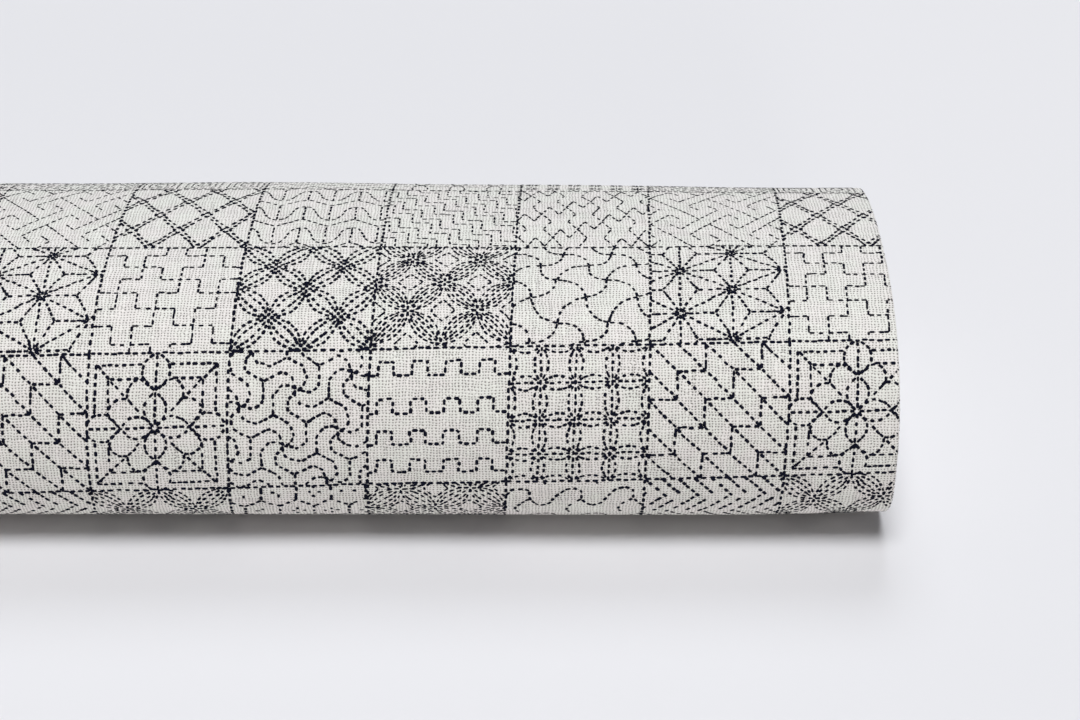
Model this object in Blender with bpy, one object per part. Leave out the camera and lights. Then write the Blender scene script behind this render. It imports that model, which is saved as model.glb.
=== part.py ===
"""A length of cotton-linen cloth, folded double along its length and wound flat into an oval pack.

Metres, +Z up. The pack lies along X with the fold of the doubled cloth at its +X end,
the two selvedges at its -X end, and its front towards -Y. The origin is under the middle
of the pack, on the surface that it rests on.
"""
import math

import bmesh
import bpy
from mathutils import Vector

# The pack as it lies
PACK_LENGTH = 0.550
PACK_DEPTH = 0.095
PACK_HEIGHT = 0.0525
END_DROP = 0.0015  # how much lower the two ends are than the middle

# The section of its outer face
FRONT_HEIGHT = 0.018  # height of the front-most point
REAR_HEIGHT = 0.025  # height of the rear-most point
CREST_Y = -0.0026
FLAT_FRONT_Y = -0.0255  # the flat underside starts here
FLAT_REAR_Y = 0.0265  # and would end here, but for the cut end below
FULLNESS_LOWER_FRONT = 2.20  # 2 is an ellipse, more is fuller
FULLNESS_UPPER_FRONT = 2.36
FULLNESS_UPPER_REAR = 2.30
FULLNESS_LOWER_REAR = 2.20

# The winding: the cloth folded double is one layer here
TURNS = 8
LAYER_GAP = 0.0009
CUT_END_Y = 0.012  # the outer cut end lies under the pack, where it doesn't show
BEND_STEPS_OUTSIDE = 8  # faces in each quarter of the outermost turn
BEND_STEPS_INSIDE = 4

# How unevenly it lies
SIDE_SWAY = 0.0004
SIDE_SWAY_LENGTH = 0.230
CREST_SWAY = 0.0003
CREST_SWAY_LENGTH = 0.170
TURN_STAGGER = 0.0011  # how far a turn's edge may lie inside the pack's end

# Places along the pack, from the selvedges to the fold's soft nose
PLAIN_STATIONS = 9
NOSE_DEPTH = 0.0014
NOSE_SHAPE = ((1.0, 1.0), (0.36, 0.75), (0.0, 0.35))  # share of its depth, of the thickness

HALF_LENGTH = PACK_LENGTH / 2
HALF_DEPTH = PACK_DEPTH / 2
HALF_HEIGHT = PACK_HEIGHT / 2
CORE_REACH = HALF_DEPTH - HALF_HEIGHT  # half the width of the flat slit at the middle
PITCH = HALF_HEIGHT / TURNS
LAYER_SHARE = (PITCH - LAYER_GAP) / PITCH
QUARTER = math.pi / 2


def soft_step(share):
    return share * share * (3 - 2 * share)


def quarter_arc(side_y, side_z, level_y, level_z, fullness, share):
    """A point between the level end of a quarter bend, at share 0, and its upright end, at 1."""
    across = math.sin(share * QUARTER) ** (2 / fullness)
    up = math.cos(share * QUARTER) ** (2 / fullness)
    return Vector((0, level_y + (side_y - level_y) * across, side_z + (level_z - side_z) * up))


def under_rear(share):
    return Vector((0, CUT_END_Y + (FLAT_REAR_Y - CUT_END_Y) * share, 0))


def lower_rear(share):
    return quarter_arc(HALF_DEPTH, REAR_HEIGHT, FLAT_REAR_Y, 0, FULLNESS_LOWER_REAR, share)


def upper_rear(share):
    return quarter_arc(
        HALF_DEPTH, REAR_HEIGHT, CREST_Y, PACK_HEIGHT, FULLNESS_UPPER_REAR, 1 - share
    )


def upper_front(share):
    return quarter_arc(
        -HALF_DEPTH, FRONT_HEIGHT, CREST_Y, PACK_HEIGHT, FULLNESS_UPPER_FRONT, share
    )


def lower_front(share):
    return quarter_arc(
        -HALF_DEPTH, FRONT_HEIGHT, FLAT_FRONT_Y, 0, FULLNESS_LOWER_FRONT, 1 - share
    )


def under_front(share):
    return Vector((0, FLAT_FRONT_Y + (CUT_END_Y - FLAT_FRONT_Y) * share, 0))


def winding():
    """The places along the winding, from its inner end: outline point, and turns out from the core."""
    places = []
    for turn in range(TURNS):
        outward = turn / (TURNS - 1)
        bend_steps = round(BEND_STEPS_INSIDE + (BEND_STEPS_OUTSIDE - BEND_STEPS_INSIDE) * outward)
        stretches = [
            (under_rear, 2, 0.0, 0.25),
            (lower_rear, bend_steps, 0.25, 1.0),
            (upper_rear, bend_steps, 1.0, 1.0),
            (upper_front, bend_steps, 1.0, 1.0),
            (lower_front, bend_steps, 1.0, 1.0),
            (under_front, 2, 1.0, 1.0),
        ]
        if turn == 0:
            stretches = stretches[2:]
        for stretch, steps, climb_start, climb_end in stretches:
            for step in range(steps):
                share = step / steps
                climbed = climb_start + (climb_end - climb_start) * share
                places.append((stretch(share), turn + soft_step(climbed)))
    places.append((under_front(1.0), float(TURNS)))
    return places


def on_layer(outline, level):
    """The outline's point, drawn in towards the slit at the middle of the pack."""
    core = Vector((0, max(-CORE_REACH, min(CORE_REACH, outline.y)), HALF_HEIGHT))
    return core.lerp(outline, level / TURNS)


def layer_point(places, index, side, x, thickness_share):
    """A point on the outer (side 1) or inner (side -1) face of the cloth, at x along the pack."""
    outline, level = places[index]
    middle = level - LAYER_SHARE / 2
    point = on_layer(outline, middle + side * thickness_share * LAYER_SHARE / 2)
    up = point.z / PACK_HEIGHT
    end_share = (x / HALF_LENGTH) ** 2
    side_sway = SIDE_SWAY * math.sin(2 * math.pi * x / SIDE_SWAY_LENGTH)
    crest_sway = CREST_SWAY * math.sin(2 * math.pi * x / CREST_SWAY_LENGTH)
    sway_room = 4 * up * (1 - up)
    point.y *= 1 - abs(side_sway) / HALF_DEPTH * sway_room
    point.z *= 1 - END_DROP / PACK_HEIGHT * end_share - abs(crest_sway) / PACK_HEIGHT * up * up
    point.x = x
    return point


def stagger(level, end):
    """How far the edge of a turn lies inside the end of the pack; the outermost turn lies at it."""
    inside = min(1.0, TURNS - level)
    return TURN_STAGGER * inside * (1 + math.sin(2.4 * level + end))


def stations():
    """Along the pack: place, share of the layer's thickness, and how much the stagger tells."""
    plain = []
    last = HALF_LENGTH - NOSE_DEPTH
    for index in range(PLAIN_STATIONS):
        along = index / (PLAIN_STATIONS - 1)
        plain.append((-HALF_LENGTH + (last + HALF_LENGTH) * along, 1.0, 2 * along - 1))
    nose = [(HALF_LENGTH - NOSE_DEPTH * back, thick, 1.0) for back, thick in NOSE_SHAPE[1:]]
    return plain + nose


def wound_cloth():
    places = winding()
    mesh = bmesh.new()
    place_of = mesh.verts.layers.int.new("place")
    side_of = mesh.verts.layers.int.new("side")

    # The section at the selvedges: a strip of faces from the inner cut end to the outer one
    rows = []
    for index in range(len(places)):
        row = []
        for side in (-1, 1):
            corner = mesh.verts.new()
            corner[place_of] = index
            corner[side_of] = side
            row.append(corner)
        rows.append(row)
    for (inner, outer), (next_inner, next_outer) in zip(rows, rows[1:]):
        mesh.faces.new((inner, outer, next_outer, next_inner))

    def settle(corners, station):
        x, thickness_share, toward_end = station
        end = 1 if toward_end > 0 else -1
        for corner in corners:
            index = corner[place_of]
            edge_in = stagger(places[index][1], end) * abs(toward_end)
            corner.co = layer_point(
                places, index, corner[side_of], x - end * edge_in, thickness_share
            )

    all_stations = stations()
    settle(mesh.verts, all_stations[0])
    section = mesh.faces[:]
    for number, station in enumerate(all_stations[1:]):
        grown = bmesh.ops.extrude_face_region(mesh, geom=section)["geom"]
        settle([item for item in grown if isinstance(item, bmesh.types.BMVert)], station)
        if number > 0:
            bmesh.ops.delete(mesh, geom=section, context="FACES")
        section = [item for item in grown if isinstance(item, bmesh.types.BMFace)]
    bmesh.ops.recalc_face_normals(mesh, faces=mesh.faces[:])
    bmesh.ops.triangulate(mesh, faces=mesh.faces[:])

    data = bpy.data.meshes.new("wound_cloth")
    mesh.to_mesh(data)
    mesh.free()
    data.shade_smooth()
    data.set_sharp_from_angle(angle=math.radians(40))
    return data


def cream_cloth():
    material = bpy.data.materials.new("cream_cloth")
    material.use_nodes = True
    shader = material.node_tree.nodes["Principled BSDF"]
    shader.inputs["Base Color"].default_value = (0.78, 0.76, 0.70, 1)
    shader.inputs["Roughness"].default_value = 0.92
    shader.inputs["Metallic"].default_value = 0.0
    return material


for old in list(bpy.data.objects):
    bpy.data.objects.remove(old)

cloth = bpy.data.objects.new("wound_cloth", wound_cloth())
cloth.data.materials.append(cream_cloth())
bpy.context.scene.collection.objects.link(cloth)
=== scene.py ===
"""A length of cotton-linen cloth with a dashed sampler print, folded double and wound flat.

Metres, +Z up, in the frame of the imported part. The fold of the doubled cloth is at +X, its
two selvedges are at -X and its front is towards -Y. The print is laid out on the cloth as it
was before it was folded and wound: x along the pack, and up, the way along the cloth from the
front-most line of the pack over its top.
"""
import math
from itertools import product

import bpy
import numpy as np
from mathutils import Matrix, Vector


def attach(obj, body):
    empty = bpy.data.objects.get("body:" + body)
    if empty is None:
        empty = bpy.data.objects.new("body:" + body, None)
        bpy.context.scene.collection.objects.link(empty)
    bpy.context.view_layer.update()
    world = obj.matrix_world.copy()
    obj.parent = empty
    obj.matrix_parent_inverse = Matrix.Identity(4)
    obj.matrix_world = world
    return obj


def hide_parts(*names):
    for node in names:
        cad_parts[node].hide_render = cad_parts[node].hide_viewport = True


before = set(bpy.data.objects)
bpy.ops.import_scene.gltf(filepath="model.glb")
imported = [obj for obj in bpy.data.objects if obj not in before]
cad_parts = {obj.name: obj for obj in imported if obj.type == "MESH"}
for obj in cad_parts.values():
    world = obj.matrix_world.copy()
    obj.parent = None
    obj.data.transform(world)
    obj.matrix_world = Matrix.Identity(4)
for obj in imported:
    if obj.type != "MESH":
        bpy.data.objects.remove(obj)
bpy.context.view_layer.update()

# The pack as it lies, with the sizes of its solid
PACK_LENGTH = 0.550
PACK_DEPTH = 0.095
PACK_HEIGHT = 0.0525
END_DROP = 0.0015
FOLD_LIFT = 0.0013  # how far the underside curls up at the fold end
FOLD_LIFT_START = 0.235
FRONT_HEIGHT = 0.018
REAR_HEIGHT = 0.025
CREST_Y = -0.0026
FLAT_FRONT_Y = -0.0255
FLAT_REAR_Y = 0.0265
CUT_END_Y = 0.012
FULLNESS_LOWER_FRONT = 2.42  # the cloth sags a little lower than its solid
FULLNESS_UPPER_FRONT = 2.36
FULLNESS_UPPER_REAR = 2.30
FULLNESS_LOWER_REAR = 2.20

HALF_LENGTH = PACK_LENGTH / 2
HALF_DEPTH = PACK_DEPTH / 2
HALF_HEIGHT = PACK_HEIGHT / 2
CORE_REACH = HALF_DEPTH - HALF_HEIGHT

# The doubled cloth and its winding
TURNS = 20
PITCH = HALF_HEIGHT / TURNS
DOUBLED = 0.00116
PLY = 0.00046
PLY_SHARE = 1 - 2 * PLY / DOUBLED  # where a ply's hidden face lies, as a share of half the layer
STATIONS = 34  # places along the pack
NOSE_STEPS = 6
TURN_STAGGER = 0.0008
SELVEDGE_STAGGER = 0.0011
EDGE_WANDER_TURN = 2.4  # how fast the edges of the turns wander, from turn to turn
BEND_STEPS = 26  # faces in each quarter of the outermost turn
FLAT_STEPS = (6, 12)  # and of its flat underside, behind and in front of the cut end
INNER_BEND_STEPS = 5  # the same in the turns inside it
INNER_FLAT_STEPS = (1, 2)
CLIMB_UNDER = 0.25  # the share of a turn's climb that lies under the pack
SHARP_ANGLE = math.radians(50)

# How unevenly the cloth lies: the height of each wave off the smooth section, and its length
SWELL = 0.00022
SWELL_LENGTH = 0.190
RIPPLE = 0.00013
RIPPLE_LENGTH = 0.083
FINE_RIPPLE = 0.00006
FINE_RIPPLE_LENGTH = 0.037
LIE_IN = 0.0001  # how much closer to the middle it lies on the whole
PRESSED_HEIGHT = 0.012  # from here down the surface under the pack smooths it

# The weave: the way from thread to thread
UPRIGHT_PITCH = 0.000711
LEVEL_PITCH = 0.000652
THREAD_HEIGHT = 0.00014
BUMP_STRENGTH = 0.8
SELVEDGE_THREADS = (9.0, 11.0)  # the closed weave of the selvedge ends between these
THREAD_DRIFT = 1.3  # how far threads lie off an even grid, in threads, over a wide patch
DRIFT_SCALE = 0.11
THREAD_WANDER = 0.9  # and over a few threads
WANDER_SCALE = 0.45
THREADS_APART = 3.7  # how unlike two neighbouring threads are
THREAD_CHANGE = 0.06  # how fast a thread changes along itself
ROUNDNESS = 0.6
CROSSING_RISE = 0.4  # how much the upper thread of a crossing stands over the lower one
SLACKNESS = 1.3
HOLE_SPREAD = (0.31, 0.76)
CLOTH_ROUGHNESS = 0.92
CLOTH_GLOSS = 0.25
INK_GLOSS = 0.06

# The print
BLOCK = 0.030
COLUMN_X = 0.2507  # the last upright line between blocks before the fold
ROW_HEIGHT = 0.0306
ROW_RISE = 0.00145  # the line over the first row, above the front-most line of the pack
ROW_SLANT = 0.0315
ROW_SLANT_EASE = 0.0060  # less for each row up
COLUMN_SLANT = 0.0310
COLUMNS = 5
ROWS = 5
DASH = 0.0460  # a dash and the way to the next one, in blocks
DASH_PITCH = 0.0570
DASH_WIDTH = 0.00056
STAR_GAPS = {1: (0.026,), 2: (0.007, 0.036), 3: (0.007, 0.064, 0.036)}  # from a star to its petals' arcs
EDGE_GAP = 0.005  # from a hemp leaf's star to the edges of its triangles
SPOKE_GAP = 0.024  # and to the spokes from their middles
DRIFT_ROWS = (-1, 0, 1, 1.5, 1.9, 2, 3)  # the print lies a little higher between these rows
DRIFT = (0, 0.0003, 0.00075, 0.0009, 0, 0.0001, 0)
DASH_PLACES = np.array([-1.0, -0.64, 0.64, 1.0])  # along half a dash: tip, shoulders and tip
DASH_POINTS = np.array(  # the place along the dash, the side of it, and the height over the cloth
    [
        (0, 0, 0.00002),
        (1, 1, 0.00002),
        (2, 1, 0.00002),
        (3, 0, 0.00002),
        (2, -1, 0.00002),
        (1, -1, 0.00002),
        (1, 0, 0.00006),
        (2, 0, 0.00006),
    ]
)
DASH_FACES = [
    (0, 1, 2, 3, 4, 5),
    (0, 6, 1),
    (1, 6, 7, 2),
    (2, 7, 3),
    (3, 7, 4),
    (4, 7, 6, 5),
    (5, 6, 0),
]
ARC_POINTS = 9
CIRCLE_POINTS = 25
STROKE_STEP = 0.01  # between the points that a stroke is cut at, in blocks
BLOCK_SLACK = 0.004  # how far a stroke may run over its block's edge
SHORTEST_STROKE = 0.6  # in dashes
SHORTEST_DASH = 0.45
PITCH_SPREAD = (0.93, 1.09)
LENGTH_SPREAD = (0.78, 1.12)
WIDTH_SPREAD = (0.80, 1.16)
BORDER_WIDTH_SPREAD = (0.95, 1.2)
SLIP = 0.05  # how far a dash slips along its stroke, in dashes
OFF_PLACE = 0.0022  # how far it lies off its place, in blocks
BARE_SELVEDGE = 0.009
OVER_FOLD = 0.0013  # how far the print reaches past the pack's length, round the fold
PRINT_BANDS = (  # the pieces of the print, and the way up where each one ends
    ("print_under", 0.0),
    ("print_front", 0.045),
    ("print_top", 0.085),
    ("print_rear", 0.125),
    ("print_lower_rear", 1.0),
)
SEED = 11

dice = np.random.default_rng(SEED)


# The winding
def quarter_arc(side_y, side_z, level_y, level_z, fullness, share):
    """A point between the level end of a quarter bend, at share 0, and its upright end, at 1."""
    across = math.sin(share * math.pi / 2) ** (2 / fullness)
    up = math.cos(share * math.pi / 2) ** (2 / fullness)
    return level_y + (side_y - level_y) * across, side_z + (level_z - side_z) * up


def under_rear(share):
    return CUT_END_Y + (FLAT_REAR_Y - CUT_END_Y) * share, 0.0


def lower_rear(share):
    return quarter_arc(HALF_DEPTH, REAR_HEIGHT, FLAT_REAR_Y, 0, FULLNESS_LOWER_REAR, share)


def upper_rear(share):
    return quarter_arc(
        HALF_DEPTH, REAR_HEIGHT, CREST_Y, PACK_HEIGHT, FULLNESS_UPPER_REAR, 1 - share
    )


def upper_front(share):
    return quarter_arc(
        -HALF_DEPTH, FRONT_HEIGHT, CREST_Y, PACK_HEIGHT, FULLNESS_UPPER_FRONT, share
    )


def lower_front(share):
    return quarter_arc(
        -HALF_DEPTH, FRONT_HEIGHT, FLAT_FRONT_Y, 0, FULLNESS_LOWER_FRONT, 1 - share
    )


def under_front(share):
    return FLAT_FRONT_Y + (CUT_END_Y - FLAT_FRONT_Y) * share, 0.0


def soft_step(share):
    return share * share * (3 - 2 * share)


def winding():
    """Rows of outline y, outline z and turns out from the core, and where the last turn starts."""
    places = []
    for turn in range(TURNS):
        fine = turn == TURNS - 1
        turn_start = len(places)
        bend_steps = BEND_STEPS if fine else INNER_BEND_STEPS
        flat_steps = FLAT_STEPS if fine else INNER_FLAT_STEPS
        stretches = [
            (under_rear, flat_steps[0], 0.0, CLIMB_UNDER),
            (lower_rear, bend_steps, CLIMB_UNDER, 1.0),
            (upper_rear, bend_steps, 1.0, 1.0),
            (upper_front, bend_steps, 1.0, 1.0),
            (lower_front, bend_steps, 1.0, 1.0),
            (under_front, flat_steps[1], 1.0, 1.0),
        ]
        if turn == 0:
            stretches = stretches[2:]
        for stretch, steps, climb_start, climb_end in stretches:
            for step in range(steps):
                share = step / steps
                climbed = climb_start + (climb_end - climb_start) * share
                places.append((*stretch(share), turn + soft_step(climbed)))
    places.append((*under_front(1.0), float(TURNS)))
    return np.array(places), turn_start


PLACES, LAST_TURN = winding()
OUTLINE = PLACES[:, :2]
LEVEL = PLACES[:, 2]


def on_layer(level):
    """Where each place lies in the section, drawn in from the outline towards the core."""
    core_y = OUTLINE[:, 0].clip(-CORE_REACH, CORE_REACH)
    core = np.stack([core_y, np.full(len(LEVEL), HALF_HEIGHT)], 1)
    return core + (OUTLINE - core) * (level / TURNS)[:, None]


def way_along(points):
    """How far each place is along the cloth, up from the front-most line of the last turn."""
    steps = np.hypot(*np.diff(points, axis=0).T)
    way = np.concatenate([[0], np.cumsum(steps)])
    last = points[LAST_TURN:, 0]
    return way[LAST_TURN + int(np.argmin(last))] - way


UP_CLOTH = way_along(on_layer(LEVEL))


def unevenness(way, along):
    """How far the cloth stands off the smooth section, for a way round it and x, in slanting waves."""
    swell = SWELL * np.sin(2 * np.pi * along / SWELL_LENGTH + 30 * way + 0.6)
    ripple = RIPPLE * np.sin(2 * np.pi * along / RIPPLE_LENGTH - 55 * way + 2.1)
    fine_phase = 2 * np.pi * along / FINE_RIPPLE_LENGTH + 90 * way
    fine = FINE_RIPPLE * np.sin(fine_phase) * np.sin(70 * way + 1.0)
    return swell + ripple + fine - LIE_IN


def edge_wander(level, start):
    return 1 + np.sin(EDGE_WANDER_TURN * level + start)


def fold_x(level):
    """Where the straight part of a layer ends, before the nose of its fold."""
    inside = np.clip(TURNS - level, 0, 1)
    return HALF_LENGTH - DOUBLED / 2 - TURN_STAGGER * inside * edge_wander(level, 1.0)


def selvedge_x(level, ply):
    inside = np.clip(TURNS - level, 0.15, 1)
    return -HALF_LENGTH + SELVEDGE_STAGGER * inside * edge_wander(level, 2.0 + 1.7 * ply)


def outline_normals():
    ahead = np.roll(OUTLINE, -1, axis=0)
    behind = np.roll(OUTLINE, 1, axis=0)
    ahead[-1] = OUTLINE[-1]
    behind[0] = OUTLINE[0]
    way = ahead - behind
    way /= np.hypot(*way.T)[:, None]
    return np.stack([way[:, 1], -way[:, 0]], 1)


def outline_way():
    """The way round the outline to each place, the same in every turn, so that the layers nest."""
    turn = OUTLINE[LAST_TURN:]
    steps = np.concatenate([[0], np.cumsum(np.hypot(*np.diff(turn, axis=0).T))])
    found = []
    for point in OUTLINE:
        nearest = np.argmin(np.hypot(*(turn - point).T))
        found.append(steps[nearest])
    return np.array(found)


NORMALS = outline_normals()
ROUND_OUTLINE = outline_way()


def cloth_points(x, thickness_share):
    """Points for every place (rows) at x (rows by columns), on a face of the doubled layer."""
    layer_share = DOUBLED / PITCH
    level = LEVEL - layer_share / 2 + thickness_share * layer_share / 2
    core_y = OUTLINE[:, 0].clip(-CORE_REACH, CORE_REACH)
    off = unevenness(ROUND_OUTLINE[:, None], x)
    room = np.clip(OUTLINE[:, 1] / PRESSED_HEIGHT, 0, 1)[:, None]
    off = off * room * room
    y = OUTLINE[:, 0][:, None] + NORMALS[:, 0][:, None] * off
    z = OUTLINE[:, 1][:, None] + NORMALS[:, 1][:, None] * off
    share = (level / TURNS)[:, None]
    y = core_y[:, None] + (y - core_y[:, None]) * share
    z = HALF_HEIGHT + (z - HALF_HEIGHT) * share
    z = z * (1 - END_DROP / PACK_HEIGHT * (x / HALF_LENGTH) ** 2)
    lifted = np.clip((x - FOLD_LIFT_START) / (HALF_LENGTH - FOLD_LIFT_START), 0, 1) ** 2
    z = z + FOLD_LIFT * lifted * (1 - np.clip(z / PACK_HEIGHT, 0, 1)) ** 2
    return np.stack([x, y, z], -1)


def ring():
    """Round the doubled layer, outside and inside: its share of the way to the fold, its share
    of the thickness, how far past the fold's start it lies, and its ply."""
    faces = []
    for reach in (1.0, PLY_SHARE):
        shares = [step / (STATIONS - 1) for step in range(STATIONS)]
        upper = [(share, reach, 0.0, 0) for share in shares]
        nose = []
        for step in range(1, NOSE_STEPS):
            turned = math.pi * step / NOSE_STEPS
            past = math.sin(turned) * reach * DOUBLED / 2
            nose.append((1.0, reach * math.cos(turned), past, 0))
        lower = [(share, -reach, 0.0, 1) for share in reversed(shares)]
        faces.append(upper + nose + lower)
    return faces


def make_cloth():
    outside, inside = ring()
    around = outside + inside[::-1]
    columns = []
    for share, thickness, past, ply in around:
        start = selvedge_x(LEVEL, ply)
        x = start + (fold_x(LEVEL) - start) * share + past
        columns.append(cloth_points(x[:, None], thickness)[:, 0])
    grid = np.stack(columns, 1)
    places, count = grid.shape[:2]
    number = np.arange(places * count).reshape(places, count)
    after = np.roll(number, -1, axis=1)
    sides = np.stack([number[:-1], number[1:], after[1:], after[:-1]], -1).reshape(-1, 4)
    half = count // 2
    caps = []
    for row, turned in ((0, False), (places - 1, True)):
        outer = number[row, :half]
        inner = number[row, half:][::-1]
        cap = np.stack([outer[:-1], outer[1:], inner[1:], inner[:-1]], -1)
        caps.append(cap[:, ::-1] if turned else cap)
    faces = np.concatenate([sides, *caps])

    mesh = bpy.data.meshes.new("cloth")
    mesh.from_pydata(grid.reshape(-1, 3), [], faces.tolist())
    across = (grid[..., 0] + HALF_LENGTH) / UPRIGHT_PITCH
    along = np.broadcast_to(UP_CLOTH[:, None], grid.shape[:2]) / LEVEL_PITCH
    threads = np.stack([across, along], -1).reshape(-1, 2)
    layer = mesh.uv_layers.new(name="threads")
    layer.uv.foreach_set("vector", threads[faces.ravel()].astype(np.float32).ravel())
    cloth = bpy.data.objects.new("cloth", mesh)
    bpy.context.scene.collection.objects.link(cloth)
    bpy.ops.object.select_all(action="DESELECT")
    bpy.context.view_layer.objects.active = cloth
    cloth.select_set(True)
    bpy.ops.object.mode_set(mode="EDIT")
    bpy.ops.mesh.select_all(action="SELECT")
    bpy.ops.mesh.normals_make_consistent(inside=False)
    bpy.ops.object.mode_set(mode="OBJECT")
    mesh.shade_smooth()
    mesh.set_sharp_from_angle(angle=SHARP_ANGLE)
    return cloth


# Strokes of the print, in blocks: a runs from 0 to 1 to the right, b from 0 to 1 upwards
def line(a0, b0, a1, b1):
    return np.array([(a0, b0), (a1, b1)], float)


def arc(start, end, bulge):
    """A shallow arc that stands off to the left of the way from start to end."""
    start = np.array(start, float)
    end = np.array(end, float)
    way = end - start
    left = np.array([-way[1], way[0]]) / np.hypot(*way)
    share = np.linspace(0, 1, ARC_POINTS)[:, None]
    return start + way * share + left * bulge * 4 * share * (1 - share)


def circle(centre, radius, start=0.0, end=360.0):
    turned = np.radians(np.linspace(start, end, CIRCLE_POINTS))
    return np.stack([centre[0] + radius * np.cos(turned), centre[1] + radius * np.sin(turned)], 1)


def petal(start, end, *bulges):
    """Arcs from star to star, those inside the outermost ones from farther out."""
    found = []
    for gap, bulge in zip(STAR_GAPS[len(bulges)], bulges):
        sides = (1, -1) if bulge else (1,)
        found += [trimmed(arc(start, end, bulge * side), gap, gap) for side in sides]
    return found


def way_of(stroke):
    """How far each of a stroke's points is along it."""
    return np.concatenate([[0], np.cumsum(np.hypot(*np.diff(stroke, axis=0).T))])


def places_on(stroke, at):
    """The places on a stroke that lie so far along it."""
    way = way_of(stroke)
    return np.stack([np.interp(at, way, stroke[:, 0]), np.interp(at, way, stroke[:, 1])], -1)


def trimmed(stroke, start_gap, end_gap=0.0):
    """A stroke without a little of its way at its start and its end."""
    end = way_of(stroke)[-1] - end_gap
    return places_on(stroke, np.linspace(start_gap, end, max(2, len(stroke))))


def path(points):
    """One stroke round corners."""
    return [np.array(points, float)]


def hemp_leaf():
    """Six-pointed stars on a triangular grid, joined by its edges."""
    first_star = (0.218, 0.249)
    height = 0.436
    width = height * math.sqrt(3) / 2
    strokes = []
    for column, row in product(range(-1, 4), range(-2, 4)):
        a = first_star[0] + width * column
        b = first_star[1] + height * (row + (column % 2) / 2)
        corners = [(a, b), (a, b + height)]
        corners += [(a + width, b + height / 2), (a + width, b - height / 2)]
        # the upright edge at the far right would double the block's own border
        for corner in corners[1 + (column > 1):]:
            strokes.append(trimmed(line(*corners[0], *corner), EDGE_GAP, EDGE_GAP))
        for triangle in (corners[:3], [corners[0], corners[2], corners[3]]):
            middle = np.mean(triangle, axis=0)
            strokes += [trimmed(line(*middle, *corner), 0, SPOKE_GAP) for corner in triangle]
    return strokes


def far_outside(at, reach):
    """Whether a place lies farther than reach from the middle of the block, across or up."""
    return np.abs(at - 0.5).max() > reach


def linked_crosses(ahead, up, middle):
    """Two families of stairs that cross at the middle of their long steps."""
    ahead = np.array(ahead)
    up = np.array(up)
    strokes = []
    for first, second in product(range(-9, 10), range(-9, 10)):
        at = np.array(middle) + (2 * first + second) * ahead + (2 * second - first) * up
        if far_outside(at, 0.8):
            continue
        strokes.append(line(*(at - ahead), *(at + ahead)))
        strokes.append(line(*(at + ahead), *(at + ahead - up)))
        strokes.append(line(*(at - up), *(at + up)))
        strokes.append(line(*(at + up), *(at + up + ahead)))
    return strokes


def linked_circles(pitch, middle, bulges):
    """Petals along the diagonals between the stars where the circles cross."""
    strokes = []
    for column, row in product(range(-4, 6), range(-5, 6)):
        if (column + row) % 2:
            continue
        star = (middle[0] + pitch[0] * column, middle[1] + pitch[1] * row)
        for side in (1, -1):
            strokes += petal(star, (star[0] + pitch[0], star[1] + pitch[1] * side), *bulges)
    return strokes


def linked_circles_with_diamonds(pitch, middle, bulges):
    """Linked circles, with a small diamond in each field between their petals."""
    strokes = linked_circles(pitch, middle, bulges)
    reach = 0.09
    for column, row in product(range(-1, 5), range(-5, 4)):
        if (column + row) % 2 == 0:
            continue
        a = middle[0] + pitch[0] * column
        b = middle[1] + pitch[1] * row
        right = (a + reach, b)
        strokes += path([right, (a, b + reach), (a - reach, b), (a, b - reach), right])
    return strokes


def linked_weights():
    """Wavy lines along both diagonals, each between the bulges of its neighbours."""
    bulge = 0.055
    rows = (
        (-0.14, (-0.04, 0.34, 0.70, 1.07)),
        (0.03, (-0.24, 0.14, 0.53, 0.90, 1.27)),
        (0.18, (-0.04, 0.33, 0.70, 1.07)),
        (0.41, (-0.24, 0.135, 0.53, 0.91, 1.28)),
        (0.59, (-0.05, 0.315, 0.68, 1.05)),
        (0.768, (-0.15, 0.20, 0.55, 0.90, 1.25)),
        (0.91, (0.01, 0.36, 0.71, 1.06)),
        (1.08, (-0.15, 0.20, 0.55, 0.90, 1.25)),
    )
    strokes = []
    for row, other in zip(rows, rows[1:]):
        between, wide = sorted((row, other), key=lambda nodes: len(nodes[1]))
        for number, a in enumerate(between[1]):
            node = (a, between[0])
            strokes.append(arc((wide[1][number], wide[0]), node, -bulge))
            strokes.append(arc(node, (wide[1][number + 1], wide[0]), bulge))
    return strokes


def cypress_fence():
    """Slanting lines, with level and upright slats between them by turns."""
    pitch = 0.2
    strokes = []
    for number in range(1, 10):
        low = pitch * number
        strokes.append(line(low + 0.1, -0.1, low - 1.1, 1.1))
        for slat in range(1, 5):
            at = pitch * slat
            if number in (1, 3, 5, 7):
                strokes.append(line(low - at, at, low + pitch - at, at))
            else:
                strokes.append(line(at, low - at, at, low + pitch - at))
    return strokes


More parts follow.
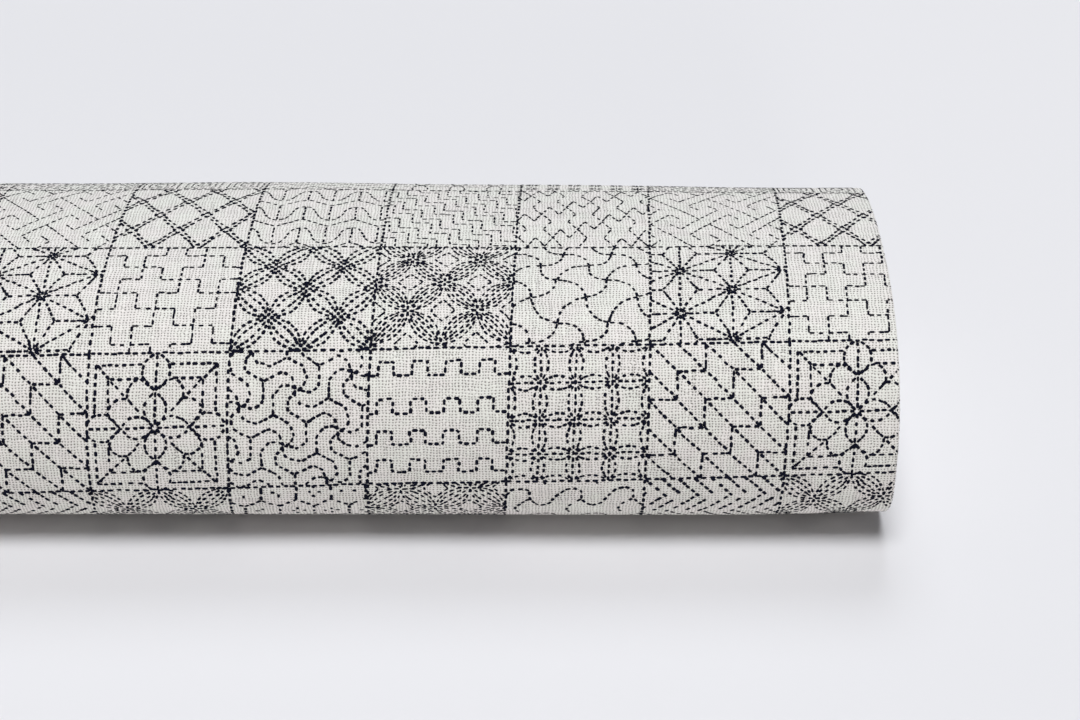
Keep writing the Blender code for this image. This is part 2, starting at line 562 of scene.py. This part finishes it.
def framed_flower():
    """A four-petalled flower in a double frame, with two loops in each of its quarters."""
    centre = np.array([0.485, 0.49])
    outer_petal = (
        (0.26, 0.01), (0.30, 0.055), (0.355, 0.10),
        (0.42, 0.095), (0.46, 0.075), (0.50, 0.02),
    )
    loop = ((0.25, 0), (0.29, 0.05), (0.335, 0.11), (0.315, 0.165), (0.26, 0.20), (0.20, 0.20))
    strokes = []
    for turn in range(4):
        cos = (1, 0, -1, 0)[turn]
        sin = (0, 1, 0, -1)[turn]
        turned = np.array([[cos, sin], [-sin, cos]])
        own = path(outer_petal) + path([(a, -b) for a, b in outer_petal])
        own += path(loop) + path([(b, a) for a, b in loop])
        own += [
            line(0.43, 0.10, 0.43, 0.44),
            line(0.43, -0.44, 0.43, -0.10),
            line(0.335, 0.12, 0.335, 0.33),
            line(0.335, -0.33, 0.335, -0.12),
            line(0.015, 0, 0.50, 0),
            line(0.43, 0.42, 0.22, 0.22),
            line(0.20, 0.20, 0.11, 0.11),
            trimmed(arc((0, 0), (0.25, 0), 0.080), 0.012, 0.020),
            trimmed(arc((0, 0), (0.25, 0), -0.080), 0.012, 0.020),
            line(0.235, 0, 0.265, 0),
        ]
        strokes += [centre + stroke @ turned for stroke in own]
    return strokes


def triple_swirls():
    """Knots on a triangular grid, joined by hooked arms that meet in threes between them."""
    knot = np.array([0.485, 0.726])
    steps = np.array([(0.395, 0.105), (-0.083, -0.395)])
    third_turn = np.linalg.solve(steps, np.array([steps[1], -steps[0] - steps[1]]))
    arm_up = ((0, 0), (-0.005, 0.13), (0.055, 0.195), (0.12, 0.20), (0.155, 0.175))
    arm_ahead = ((0, 0), (0.13, 0.068), (0.20, 0.03), (0.22, -0.03), (0.236, -0.062))
    meetings = (
        ((-steps[0] + steps[1]) / 3, arm_up),
        ((steps[0] + 2 * steps[1]) / 3, arm_ahead),
    )
    strokes = []
    for column, row in product(range(-4, 5), range(-4, 5)):
        for meeting, bent in meetings:
            at = knot + np.array([column, row]) @ steps + meeting
            if far_outside(at, 0.9):
                continue
            arm = np.array(bent)
            for turn in range(3):
                strokes.append(at + arm)
                arm = arm @ third_turn
    return strokes


def battlements():
    """Rows of square waves."""
    first_rise = 0.064
    period = 0.24
    crest = 0.111
    strokes = []
    for middle in (0.857, 0.595, 0.370, 0.148):
        low = middle - 0.05
        high = middle + 0.05
        points = []
        for wave in range(-1, 5):
            rise = first_rise + period * wave
            fall = rise + crest
            points += [(rise, low), (rise, high), (fall, high), (fall, low)]
        strokes += path(points)
    return strokes


def petal_plaid():
    """A grid of three lines each way, each with petals along it from crossing to crossing."""
    bulge = 0.05
    crossings = (0, 0.225, 0.475, 0.735, 1)
    strokes = []
    for at in crossings:
        inner = at in crossings[1:-1]
        if inner:
            strokes.append(line(at, 0, at, 1))
            strokes.append(line(0, at, 1, at))
        for low, high in zip(crossings, crossings[1:]):
            strokes += petal((at, low), (at, high), bulge)
            strokes += petal((low, at), (high, at), bulge)
    return strokes


def key_fret():
    """Interlocking bars with hooked ends, on the diagonal."""
    first_bar = np.array([0.01, 0.81])
    ways = np.array([(0.074, -0.080), (0.074, 0.080)])  # down to the right, and up to the right
    bar = ((0, 0), (5, 0))
    near_hook = ((1, -2), (0, -2), (0, 2), (1, 2))
    far_hook = ((4, -2), (5, -2), (5, 2), (4, 2))
    strokes = []
    for first, second in product(range(-4, 5), range(-4, 5)):
        top = first_bar + 3 * (first + second) * ways[0] + 3 * (first - second) * ways[1]
        for steps in (bar, near_hook, far_hook):
            strokes += path(top + np.array(steps) @ ways)
    return strokes


def double_net():
    """Pairs of lines both ways, round rounded diamonds."""
    width = 0.1775
    height = 0.232
    apart = 0.027
    bulge = 0.014
    strokes = []
    for column, row in product(range(-8, 8), range(-5, 6)):
        if (column + row) % 2:
            continue
        node = np.array([0.46 + width * column, 0.71 + height * row])
        for side in (1, -1):
            way = np.array([width, height * side])
            left = np.array([-way[1], way[0]]) / np.hypot(*way) * apart
            strokes.append(arc(node + left, node + way + left, -bulge))
            strokes.append(arc(node - left, node + way - left, bulge))
    return strokes


def barred_waves():
    """A shallow wave over a deep round one, with bars between them."""
    period = 0.39
    deep_wave = (
        (-0.09, -0.17), (-0.05, -0.22), (0, -0.24), (0.06, -0.225), (0.10, -0.15),
        (0.12, -0.08), (0.155, -0.03), (0.20, -0.02), (0.24, -0.03), (0.28, -0.10),
    )
    strokes = []
    for row in range(-1, 4):
        low = 0.953 - row / 3
        shallow = []
        deep = []
        for wave in range(-1, 4):
            valley = 0.176 + period * wave
            peak = valley + period / 2
            shallow += [(valley, low), (peak, low + 0.11)]
            deep += [(valley + a, low + b) for a, b in deep_wave]
            strokes.append(line(valley, low - 0.01, valley, low - 0.23))
            strokes.append(line(peak, low - 0.03, peak, low - 0.23))
        strokes += path(shallow)
        strokes += path(deep)
    return strokes


def linked_steps():
    """Pairs of stairs down to the right."""
    step = 0.152
    first_stair = (0.67, 0.472)
    next_pair = (0.16, 0.14)
    strokes = []
    for number in range(-7, 8):
        for shift_a, shift_b in ((0, 0), (0.07, 0.062)):
            a = first_stair[0] + next_pair[0] * number + shift_a
            b = first_stair[1] + next_pair[1] * number + shift_b
            points = []
            for stair in range(-9, 9):
                points.append((a + step * stair, b - step * stair))
                points.append((a + step * (stair + 1), b - step * stair))
            strokes += path(points)
    return strokes


def herringbone():
    """Bands of slanting lines, every second one joined to the next band's at a corner."""
    band = 0.20
    pitch = 0.12
    short_of_corner = 0.04
    strokes = []
    for row in range(-1, 6):
        high = 1.03 - band * row
        low = high - band
        way = -1 if row % 2 else 1
        for number in range(-3, 11):
            corner = pitch * number + 0.05
            stroke = line(corner - way * band, high, corner, low)
            if number % 2 == 0:
                stroke = trimmed(stroke, short_of_corner, short_of_corner)
            strokes.append(stroke)
    return strokes


def scrolls():
    """Rows of linked curls."""
    period = 0.375
    row_height = 0.33
    rolling = (
        (0, 0.75), (0.07, 0.78), (0.11, 0.855), (0.17, 0.92), (0.24, 0.935),
        (0.30, 0.91), (0.30, 0.83), (0.33, 0.785), (0.375, 0.75),
    )
    branch = ((0.30, 0.83), (0.25, 0.79), (0.205, 0.74), (0.20, 0.68), (0.225, 0.64))
    strokes = []
    for row, number in product(range(-1, 4), range(-2, 4)):
        start = np.array([0.25 + period * (number + (row % 2) / 2), -row_height * row])
        strokes += path(start + np.array(rolling))
        strokes += path(start + np.array(branch))
    return strokes


def hexagons_with_crosses():
    """A net of upright hexagons, each with an open cross at its middle."""
    width = 0.253
    rise = 0.233
    inner = 0.018
    outer = 0.058
    strokes = []
    for column, row in product(range(-1, 6), range(-1, 6)):
        a = 0.10 + width * (column + (row % 2) / 2)
        b = 0.94 - rise * row
        top = (a, b + rise * 2 / 3)
        right_top = (a + width / 2, b + rise / 3)
        right_low = (a + width / 2, b - rise / 3)
        left_top = (a - width / 2, b + rise / 3)
        strokes += path([left_top, top, right_top, right_low])
        for ahead, up in ((1, 0), (0, 1), (-1, 0), (0, -1)):
            near = (a + inner * ahead, b + inner * up)
            strokes.append(line(*near, a + outer * ahead, b + outer * up))
    return strokes


def blue_waves():
    """Overlapping fans of concentric arcs."""
    fan_width = 0.33
    row_height = 0.125
    strokes = []
    for row, column in product(range(-1, 9), range(-1, 5)):
        a = fan_width * (column + (row % 2) / 2)
        b = row_height * row
        for radius in (0.165, 0.118, 0.071):
            strokes.append(circle((a, b), radius, 25, 155))
    return strokes


def nested_squares():
    """Three rows of three squares, each in two more."""
    strokes = []
    for column, row in product(range(3), range(3)):
        a = (column + 0.5) / 3
        b = (row + 0.5) / 3
        for reach in (0.135, 0.090, 0.045):
            corner = (a - reach, b - reach)
            far = [(a + reach, b - reach), (a + reach, b + reach), (a - reach, b + reach)]
            strokes += path([corner, *far, corner])
    return strokes


def mountain_path():
    """Rows of zigzags."""
    pitch = 0.125
    peak = 0.09
    strokes = []
    for row in range(-1, 9):
        heights = [pitch * row + (peak if step % 2 else 0) for step in range(10)]
        strokes += path([(pitch * step, height) for step, height in enumerate(heights)])
    return strokes


def overlapping_circles():
    """Circles on a square grid that cut each other in four petals."""
    pitch = 0.29
    radius = 0.205
    strokes = []
    for column, row in product(range(-1, 5), range(-1, 5)):
        strokes.append(circle((pitch * column + 0.06, pitch * row + 0.06), radius))
    return strokes


def rice_crosses():
    """Stars of four strokes on a square grid."""
    across = 6
    straight = 0.06
    slanting = 0.045
    strokes = []
    for column, row in product(range(across), range(across)):
        a = (column + 0.5) / across
        b = (row + 0.5) / across
        for ahead, up in ((straight, 0), (0, straight), (slanting, slanting), (slanting, -slanting)):
            strokes.append(line(a - ahead, b - up, a + ahead, b + up))
    return strokes


def upright_linked_crosses():
    return linked_crosses((0.1445, 0), (0, 0.140), (0.427, 0.343))


def slanting_linked_crosses():
    return linked_crosses((0.0552, 0.120), (-0.0736, 0.1226), (0.18, 0.506))


def doubled_circles():
    return linked_circles((0.25, 0.25), (0.5, 0.51), (0.080, 0.034))


def striped_circles():
    return linked_circles((0.25, 0.23), (0.49, 1.0), (0.078, 0.040, 0.0))


def tall_circles_with_diamonds():
    return linked_circles_with_diamonds((0.25, 0.27), (0.25, 0.84), (0.076, 0.046, 0.017))


def low_circles_with_diamonds():
    return linked_circles_with_diamonds((0.251, 0.21), (0.24, 0.95), (0.078, 0.042, 0.0))


# Rows from the bottom up and columns from the fold to the left, each pattern with how long
# its dashes are and how bold they are, as shares of the usual
SAMPLER = [
    [
        (striped_circles, 0.88, 1.12),
        (herringbone, 1.0, 1.40),
        (scrolls, 0.95, 1.25),
        (low_circles_with_diamonds, 0.92, 0.98),
        (hexagons_with_crosses, 1.0, 1.30),
    ],
    [
        (framed_flower, 0.92, 1.22),
        (cypress_fence, 0.95, 1.20),
        (petal_plaid, 0.84, 1.20),
        (battlements, 0.95, 1.30),
        (triple_swirls, 0.90, 1.28),
    ],
    [
        (upright_linked_crosses, 1.0, 0.95),
        (hemp_leaf, 0.92, 1.20),
        (linked_weights, 0.95, 1.10),
        (tall_circles_with_diamonds, 0.90, 1.00),
        (doubled_circles, 0.85, 1.35),
    ],
    [
        (double_net, 1.0, 1.20),
        (key_fret, 1.0, 0.84),
        (slanting_linked_crosses, 1.0, 0.88),
        (linked_steps, 1.0, 0.84),
        (barred_waves, 1.0, 0.90),
    ],
    [
        (nested_squares, 1.0, 0.80),
        (blue_waves, 1.0, 0.80),
        (rice_crosses, 1.0, 0.80),
        (overlapping_circles, 1.0, 0.80),
        (mountain_path, 1.0, 0.80),
    ],
]


# Dashes
def inside_stretches(stroke):
    """The parts of a stroke that lie in its block, with points close together."""
    total = way_of(stroke)[-1]
    points = places_on(stroke, np.linspace(0, total, max(3, int(total / STROKE_STEP) + 2)))
    inside = ((points > -BLOCK_SLACK) & (points < 1 + BLOCK_SLACK)).all(1)
    edges = np.flatnonzero(np.diff(np.concatenate([[0], inside.astype(int), [0]])))
    return [points[start:end] for start, end in zip(edges[::2], edges[1::2]) if end - start > 1]


def dashes_along(points, fine):
    """Dashes along a stroke: the four places along each one's middle line that shape it."""
    total = way_of(points)[-1]
    dash = DASH * fine
    pitch = DASH_PITCH * fine
    if total < SHORTEST_STROKE * dash:
        return []
    count = max(1, round((total - dash) / pitch * dice.uniform(*PITCH_SPREAD)) + 1)
    share = np.arange(count) / (count - 1) if count > 1 else np.array([0.5])
    shift = pitch * dice.uniform(-0.5, 0.5) * np.sin(np.pi * share)
    middles = dash / 2 + (total - dash) * share + shift
    found = []
    for middle in middles:
        reach = dash / 2 * dice.uniform(*LENGTH_SPREAD)
        slip = dash * dice.normal(0, SLIP)
        at = np.clip(middle + slip + reach * DASH_PLACES, 0, total)
        if at[-1] - at[0] >= SHORTEST_DASH * dash:
            found.append(places_on(points, at))
    return found


def printed_block(pattern, fine, bold):
    """All dashes of one block: the places of their middle lines, and their widths."""
    found = []
    for stroke in pattern():
        for points in inside_stretches(stroke):
            found += dashes_along(points, fine)
    width = dice.uniform(*WIDTH_SPREAD, len(found)) * DASH_WIDTH * fine**0.5 * bold
    border = []
    for edge in (line(0, 0, 0, 1), line(0, 0, 1, 0)):
        border += dashes_along(edge, 1.0)
    border_width = dice.uniform(*BORDER_WIDTH_SPREAD, len(border)) * DASH_WIDTH * max(1.0, bold**0.5)
    places = np.array(found + border)
    places += dice.normal(0, OFF_PLACE, (len(places), 1, 2))
    return places, np.concatenate([width, border_width])


def sampler_print(low_up, high_up, low_x, high_x):
    """Every dash in a stretch of the cloth: x and way up of its four places, and its width."""
    blocks = [[printed_block(*pattern) for pattern in row] for row in SAMPLER]
    places = []
    widths = []
    first_column = math.floor((COLUMN_X - high_x) / BLOCK) - 1
    last_column = math.ceil((COLUMN_X - low_x) / BLOCK) + 1
    first_row = math.floor(low_up / ROW_HEIGHT) - 1
    last_row = math.ceil(high_up / ROW_HEIGHT) + 2
    for column, row in product(range(first_column, last_column + 1), range(first_row, last_row + 1)):
        block, width = blocks[row % ROWS][column % COLUMNS]
        across = COLUMN_X + BLOCK * (block[..., 0] - column)
        rows_up = row - 1 + block[..., 1]
        slant = ROW_SLANT - ROW_SLANT_EASE * rows_up.clip(0, 3)
        up = ROW_RISE + ROW_HEIGHT * rows_up + slant * (across - COLUMN_X)
        up = up + np.interp(rows_up, DRIFT_ROWS, DRIFT)
        across = across + COLUMN_SLANT * up
        places.append(np.stack([across, up], -1))
        widths.append(width)
    places = np.concatenate(places)
    widths = np.concatenate(widths)
    x, up = places.mean(1).T
    kept = (up > low_up) & (up < high_up) & (x > low_x) & (x < high_x)
    return places[kept], widths[kept]


class OuterFace:
    """The printed face of the cloth, as a grid of points that any place on it is read from."""

    def __init__(self):
        self.shares = np.linspace(0, 1, STATIONS)
        start = selvedge_x(LEVEL, 0)
        self.start = start
        self.fold = fold_x(LEVEL)
        x = start[:, None] + (self.fold - start)[:, None] * self.shares
        self.points = cloth_points(x, 1.0)
        along = np.gradient(self.points, axis=0)
        across = np.gradient(self.points, axis=1)
        normals = np.cross(along, across)
        normals /= np.linalg.norm(normals, axis=-1, keepdims=True)
        middle = np.array([0, 0, HALF_HEIGHT])
        out = ((self.points - middle) * normals * np.array([0, 1, 1])).sum(-1)
        self.normals = normals * np.where(out.mean() < 0, -1, 1)
        self.order = np.arange(len(LEVEL), dtype=float)

    def at(self, x, up, height):
        """Points at x along the cloth and up it, at a height over it, wrapped over the fold's nose."""
        row = np.interp(-up, -UP_CLOTH, self.order)
        low = np.clip(row.astype(int), 0, len(LEVEL) - 2)
        part = (row - low)[:, None]
        start = np.interp(row, self.order, self.start)
        fold = np.interp(row, self.order, self.fold)
        share = np.clip((x - start) / (fold - start), 0, 1) * (STATIONS - 1)
        left = np.clip(share.astype(int), 0, STATIONS - 2)
        side = (share - left)[:, None]

        def read(table):
            near = table[low, left] * (1 - side) + table[low, left + 1] * side
            far = table[low + 1, left] * (1 - side) + table[low + 1, left + 1] * side
            return near * (1 - part) + far * part

        point = read(self.points)
        normal = read(self.normals)
        normal /= np.linalg.norm(normal, axis=1, keepdims=True)
        radius = DOUBLED / 2
        turned = np.clip(x - fold, 0, None) / radius
        end = np.array([1.0, 0, 0])
        point = point - normal * (radius * (1 - np.cos(turned)))[:, None]
        point = point + end * (radius * np.sin(turned))[:, None]
        leaning = normal * np.cos(turned)[:, None] + end * np.sin(turned)[:, None]
        return point + leaning * height[:, None]


OUTER_FACE = OuterFace()


def make_print(name, places, widths):
    """Dashes as one mesh that follows the cloth."""
    way = np.gradient(places, axis=1)
    way /= np.linalg.norm(way, axis=2, keepdims=True) + 1e-12
    left = np.stack([-way[..., 1], way[..., 0]], -1)
    place, side, height = DASH_POINTS.T
    place = place.astype(int)
    off = (side[None, :] * widths[:, None])[..., None] / 2
    at = places[:, place] + left[:, place] * off
    x = at[..., 0].ravel()
    up = at[..., 1].ravel()
    count = len(places)
    points = OUTER_FACE.at(x, up, np.tile(height, count))
    corners = [len(face) for face in DASH_FACES]
    face_points = np.array([point for face in DASH_FACES for point in face])
    loops = (face_points[None] + np.arange(count)[:, None] * len(DASH_POINTS)).ravel()
    totals = np.tile(corners, count)
    starts = np.concatenate([[0], np.cumsum(totals)[:-1]])
    mesh = bpy.data.meshes.new(name)
    mesh.vertices.add(len(points))
    mesh.vertices.foreach_set("co", points.astype(np.float32).ravel())
    mesh.loops.add(len(loops))
    mesh.loops.foreach_set("vertex_index", loops.astype(np.int32))
    mesh.polygons.add(len(totals))
    mesh.polygons.foreach_set("loop_start", starts.astype(np.int32))
    mesh.polygons.foreach_set("loop_total", totals.astype(np.int32))
    threads = np.stack([(x + HALF_LENGTH) / UPRIGHT_PITCH, up / LEVEL_PITCH], 1)
    layer = mesh.uv_layers.new(name="threads")
    layer.uv.foreach_set("vector", threads[loops].astype(np.float32).ravel())
    mesh.update(calc_edges=True)
    mesh.validate()
    piece = bpy.data.objects.new(name, mesh)
    bpy.context.scene.collection.objects.link(piece)
    return piece


# Materials
def add_node(tree, kind, **values):
    node = tree.nodes.new(kind)
    for name, value in values.items():
        setattr(node, name, value)
    return node


def connect(tree, value, socket):
    if isinstance(value, bpy.types.NodeSocket):
        tree.links.new(value, socket)
    else:
        socket.default_value = value


def calc(tree, operation, first, second=0.0, third=0.0):
    node = add_node(tree, "ShaderNodeMath", operation=operation)
    connect(tree, first, node.inputs[0])
    connect(tree, second, node.inputs[1])
    connect(tree, third, node.inputs[2])
    return node.outputs[0]


def spread(tree, value, low, high):
    """0 below low and 1 above high, soft between."""
    node = add_node(tree, "ShaderNodeMapRange", interpolation_type="SMOOTHSTEP")
    connect(tree, value, node.inputs["Value"])
    node.inputs["From Min"].default_value = low
    node.inputs["From Max"].default_value = high
    return node.outputs["Result"]


def mix_colours(tree, share, first, second, blend="MIX"):
    node = add_node(tree, "ShaderNodeMix", data_type="RGBA", blend_type=blend)
    connect(tree, share, node.inputs["Factor"])
    connect(tree, first, node.inputs["A"])
    connect(tree, second, node.inputs["B"])
    return node.outputs["Result"]


def joined(tree, x, y, z=0.0):
    node = add_node(tree, "ShaderNodeCombineXYZ")
    connect(tree, x, node.inputs[0])
    connect(tree, y, node.inputs[1])
    connect(tree, z, node.inputs[2])
    return node.outputs[0]


def noise(tree, vector, scale, detail=2.0):
    node = add_node(tree, "ShaderNodeTexNoise")
    connect(tree, vector, node.inputs["Vector"])
    node.inputs["Scale"].default_value = scale
    node.inputs["Detail"].default_value = detail
    return node.outputs["Fac"]


def uneven_threads(tree, count, drift_place, wander_place):
    """A count of threads, shifted where they lie off an even grid."""
    drift = calc(tree, "SUBTRACT", noise(tree, drift_place, DRIFT_SCALE), 0.5)
    wander = calc(tree, "SUBTRACT", noise(tree, wander_place, WANDER_SCALE, 1.0), 0.5)
    wandered = calc(tree, "MULTIPLY_ADD", wander, THREAD_WANDER, count)
    return calc(tree, "MULTIPLY_ADD", drift, THREAD_DRIFT, wandered)


def weave(tree):
    """The plain weave on the threads' map: its height, where its holes are, which the materials paint
    shade into, and a shade of colour for each thread.
    """
    threads = add_node(tree, "ShaderNodeUVMap", uv_map="threads").outputs[0]
    apart = add_node(tree, "ShaderNodeSeparateXYZ")
    tree.links.new(threads, apart.inputs[0])
    across = apart.outputs[0]
    along = apart.outputs[1]
    u = uneven_threads(tree, across, threads, threads)
    v = uneven_threads(tree, along, joined(tree, along, across, 9.0), joined(tree, along, across, 3.0))
    sin_u = calc(tree, "SINE", calc(tree, "MULTIPLY", u, math.pi))
    sin_v = calc(tree, "SINE", calc(tree, "MULTIPLY", v, math.pi))
    upright = calc(tree, "ABSOLUTE", sin_u)
    level = calc(tree, "ABSOLUTE", sin_v)
    over = calc(tree, "MULTIPLY", calc(tree, "MULTIPLY", sin_u, sin_v), CROSSING_RISE)
    height_u = calc(tree, "MULTIPLY_ADD", upright, ROUNDNESS, over)
    height_v = calc(tree, "SUBTRACT", calc(tree, "MULTIPLY", level, ROUNDNESS), over)
    height = calc(tree, "MAXIMUM", height_u, height_v)
    thread_u = calc(tree, "MULTIPLY", calc(tree, "FLOOR", u), THREADS_APART)
    thread_v = calc(tree, "MULTIPLY", calc(tree, "FLOOR", v), THREADS_APART)
    slow_u = calc(tree, "MULTIPLY", u, THREAD_CHANGE)
    slow_v = calc(tree, "MULTIPLY", v, THREAD_CHANGE)
    shade_u = noise(tree, joined(tree, thread_u, slow_v), 1.0, 3.0)
    shade_v = noise(tree, joined(tree, slow_u, thread_v, 5.0), 1.0, 3.0)
    upper = spread(tree, calc(tree, "SUBTRACT", height_u, height_v), -0.05, 0.05)
    lower = calc(tree, "SUBTRACT", 1.0, upper)
    own_u = calc(tree, "MULTIPLY", shade_u, upper)
    own_v = calc(tree, "MULTIPLY", shade_v, lower)
    shade = calc(tree, "ADD", own_u, own_v)
    open_share = calc(tree, "MAXIMUM", upright, level)
    slack = calc(tree, "MULTIPLY_ADD", calc(tree, "SUBTRACT", shade, 0.5), SLACKNESS, open_share)
    # where the open holes are: the materials paint shade into them, none in the closed selvedge
    hole_shade = calc(tree, "SUBTRACT", 1.0, spread(tree, slack, *HOLE_SPREAD))
    hole_shade = calc(tree, "MULTIPLY", hole_shade, spread(tree, across, *SELVEDGE_THREADS))
    return height, hole_shade, shade


def new_material(name):
    material = bpy.data.materials.new(name)
    material.use_nodes = True
    return material


def finish_material(material, colour, height, gloss):
    """Gives a matt material its colour, its gloss and the threads' relief."""
    tree = material.node_tree
    shader = tree.nodes["Principled BSDF"]
    tree.links.new(colour, shader.inputs["Base Color"])
    shader.inputs["Roughness"].default_value = CLOTH_ROUGHNESS
    shader.inputs["Specular IOR Level"].default_value = gloss
    bump = add_node(tree, "ShaderNodeBump")
    bump.inputs["Strength"].default_value = BUMP_STRENGTH
    bump.inputs["Distance"].default_value = THREAD_HEIGHT
    tree.links.new(height, bump.inputs["Height"])
    tree.links.new(bump.outputs["Normal"], shader.inputs["Normal"])
    return material


def cream_weave():
    """Cream threads, each of its own shade of colour, with a faint tinge in patches, painted shade where
    the weave lies low between the threads and painted shade in its open holes.
    """
    dark_thread = (0.680, 0.671, 0.663, 1)
    light_thread = (0.955, 0.948, 0.940, 1)
    rosy = (1.0, 0.960, 0.945, 1)
    greenish = (0.970, 0.990, 0.930, 1)
    # painted shade: the colour where the weave lies low between threads, and the colour of its open
    # holes
    painted_gap_shade = (0.68, 0.648, 0.612, 1)
    painted_hole_shade = (0.20, 0.187, 0.180, 1)
    material = new_material("cream_weave")
    tree = material.node_tree
    height, hole_shade, shade = weave(tree)
    threads = mix_colours(tree, shade, dark_thread, light_thread)
    place = add_node(tree, "ShaderNodeTexCoord").outputs["Object"]
    patches = spread(tree, noise(tree, place, 150.0, 3.0), 0.35, 0.65)
    tinge = mix_colours(tree, patches, rosy, greenish)
    threads = mix_colours(tree, 0.8, threads, tinge, "MULTIPLY")
    # painted shade where the weave lies low between the threads, by its height
    threads_with_gap_shade = mix_colours(tree, spread(tree, height, 0.10, 0.75), painted_gap_shade, threads)
    # painted shade in the open holes of the weave
    colour = mix_colours(tree, hole_shade, threads_with_gap_shade, painted_hole_shade)
    return finish_material(material, colour, height, CLOTH_GLOSS)


def navy_ink():
    """Matt dark ink that takes on the threads' shades of colour, with painted shade over the holes."""
    dark_ink = (0.002, 0.002, 0.007, 1)
    light_ink = (0.010, 0.013, 0.031, 1)
    # painted shade over the weave's open holes
    ink_hole_shade = (0.002, 0.002, 0.004, 1)
    material = new_material("navy_ink")
    tree = material.node_tree
    height, hole_shade, shade = weave(tree)
    ink = mix_colours(tree, shade, dark_ink, light_ink)
    # painted shade over the holes, at half strength
    colour = mix_colours(tree, calc(tree, "MULTIPLY", hole_shade, 0.5), ink, ink_hole_shade)
    return finish_material(material, colour, height, INK_GLOSS)


def pale_floor():
    material = new_material("pale_floor")
    shader = material.node_tree.nodes["Principled BSDF"]
    shader.inputs["Base Color"].default_value = (0.755, 0.747, 0.770, 1)
    shader.inputs["Roughness"].default_value = 0.7
    shader.inputs["Specular IOR Level"].default_value = 0.2
    return material


# The cloth and its print
cloth = make_cloth()
cloth.data.materials.append(cream_weave())
ink = navy_ink()
low_up = UP_CLOTH[-1]
high_up = UP_CLOTH[LAST_TURN]
low_x = -HALF_LENGTH + BARE_SELVEDGE
high_x = HALF_LENGTH + OVER_FOLD
places, widths = sampler_print(low_up, high_up, low_x, high_x)
middle_up = places[..., 1].mean(1)
pieces = []
band_start = low_up
for name, band_end in PRINT_BANDS:
    kept = (middle_up >= band_start) & (middle_up < band_end)
    piece = make_print(name, places[kept], widths[kept])
    piece.data.materials.append(ink)
    pieces.append(piece)
    band_start = band_end

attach(cloth, "root")
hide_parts("wound_cloth")
for piece in pieces:
    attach(piece, "root")


# Floor, light and camera
FLOOR_SIZE = 60
FLOOR_GAP = 0.0003  # between the floor and the underside
LIT_PLACE = (0.2, 0, 0.02)
LIGHTS = (  # name, the place that it shines from, width in degrees, strength and colour
    ("top_light", (0.25, -0.42, 2.88), 26, 2.44, (0.980, 0.992, 1.0)),
    ("rear_light", (0.25, 1.70, 2.20), 24, 0.84, (0.92, 0.96, 1.0)),
    ("front_light", (0.25, -1.60, 0.26), 14, 0.72, (1.0, 0.955, 0.89)),
)
SURROUNDINGS = (0.95, 0.97, 1.0, 1)
SURROUNDINGS_STRENGTH = 0.10
CAMERA_TARGET = (0.1981, 0, 0.01728)
CAMERA_DISTANCE = 0.5297
CAMERA_AZIMUTH = -0.12  # in degrees, like the next two
CAMERA_ELEVATION = 34.22
CAMERA_ROLL = 0.09
LENS = 75.5
SENSOR_WIDTH = 36
NEAR_LIMIT = 0.01


def make_floor():
    bpy.ops.object.select_all(action="DESELECT")
    bpy.ops.mesh.primitive_plane_add(size=FLOOR_SIZE, location=(0, 0, -FLOOR_GAP))
    floor = bpy.context.object
    floor.name = "floor"
    bpy.ops.object.transform_apply(location=True)
    floor.data.materials.append(pale_floor())


def make_light(name, place, width, strength, colour):
    """A soft light from far off, as wide in degrees as given, from the way of a place."""
    light = bpy.data.lights.new(name, "SUN")
    light.angle = math.radians(width)
    light.energy = strength
    light.color = colour
    lamp = bpy.data.objects.new(name, light)
    bpy.context.scene.collection.objects.link(lamp)
    lamp.location = place
    way = Vector(LIT_PLACE) - Vector(place)
    lamp.rotation_euler = way.to_track_quat("-Z", "Y").to_euler()


def make_camera():
    azimuth = math.radians(CAMERA_AZIMUTH)
    elevation = math.radians(CAMERA_ELEVATION)
    roll = math.radians(CAMERA_ROLL)
    level = math.cos(elevation)
    back = Vector((math.sin(azimuth) * level, -math.cos(azimuth) * level, math.sin(elevation)))
    right = (-back).cross(Vector((0, 0, 1))).normalized()
    up = right.cross(-back)
    rolled_right = right * math.cos(roll) + up * math.sin(roll)
    rolled_up = up * math.cos(roll) - right * math.sin(roll)
    camera = bpy.data.objects.new("camera", bpy.data.cameras.new("camera"))
    bpy.context.scene.collection.objects.link(camera)
    camera.data.lens = LENS
    camera.data.sensor_width = SENSOR_WIDTH
    camera.data.clip_start = NEAR_LIMIT
    turned = Matrix((rolled_right, rolled_up, back)).transposed()
    place = Vector(CAMERA_TARGET) + back * CAMERA_DISTANCE
    camera.matrix_world = Matrix.Translation(place) @ turned.to_4x4()
    bpy.context.scene.camera = camera


def make_surroundings():
    world = bpy.data.worlds.new("studio")
    bpy.context.scene.world = world
    world.use_nodes = True
    background = world.node_tree.nodes["Background"]
    background.inputs["Color"].default_value = SURROUNDINGS
    background.inputs["Strength"].default_value = SURROUNDINGS_STRENGTH


make_floor()
for light in LIGHTS:
    make_light(*light)
make_camera()
make_surroundings()
bpy.context.scene.view_settings.view_transform = "Standard"
